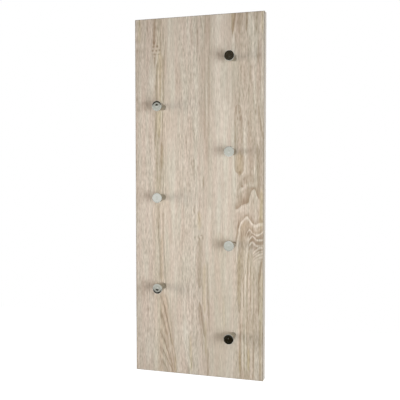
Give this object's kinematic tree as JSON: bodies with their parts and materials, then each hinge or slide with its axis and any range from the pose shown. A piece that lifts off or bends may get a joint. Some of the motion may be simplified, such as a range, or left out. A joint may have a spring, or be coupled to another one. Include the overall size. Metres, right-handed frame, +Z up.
{
  "type": "wall coat rack",
  "caption": "Tall flat wood-decor wall panel with staggered conical metal pegs for hanging coats, hung on keyhole plates let into its back.",
  "frame": {"origin": "middle of the back face, on the wall plane", "axes": "+Z up the panel, +X to the right as the panel is looked at, +Y out of the back into the wall, so the pegs point along -Y"},
  "size_m": [0.372, 0.076, 1],
  "materials": {
    "chipboard": "raw chipboard, seen only in the drilled and routed holes",
    "oak_decor": "printed pale oak laminate, matt, with a light pore",
    "back_liner": "plain balancing sheet, matt",
    "edge_band": "printed edge band, matt",
    "polished_metal": "turned and polished, nickel plated",
    "zinc_steel": "zinc plated",
    "yellow_zinc_steel": "yellow zinc plated"
  },
  "bodies": {
    "root": {"panel_core": "chipboard", "front_facing": "oak_decor", "back_facing": "back_liner", "edge_band_right": "edge_band", "edge_band_left": "edge_band", "edge_band_top": "edge_band", "edge_band_bottom": "edge_band", "peg_1": "polished_metal", "peg_2": "polished_metal", "peg_3": "polished_metal", "peg_4": "polished_metal", "peg_5": "polished_metal", "peg_6": "polished_metal", "peg_7": "polished_metal", "peg_screw_1": "zinc_steel", "peg_screw_2": "zinc_steel", "peg_screw_3": "zinc_steel", "peg_screw_4": "zinc_steel", "peg_screw_5": "zinc_steel", "peg_screw_6": "zinc_steel", "peg_screw_7": "zinc_steel", "peg_washer_1": "zinc_steel", "peg_washer_2": "zinc_steel", "peg_washer_3": "zinc_steel", "peg_washer_4": "zinc_steel", "peg_washer_5": "zinc_steel", "peg_washer_6": "zinc_steel", "peg_washer_7": "zinc_steel", "hanger_plate_left": "zinc_steel", "hanger_plate_right": "zinc_steel", "hanger_screw_left_upper": "yellow_zinc_steel", "hanger_screw_left_lower": "yellow_zinc_steel", "hanger_screw_right_upper": "yellow_zinc_steel", "hanger_screw_right_lower": "yellow_zinc_steel"}
  },
  "joints": []
}
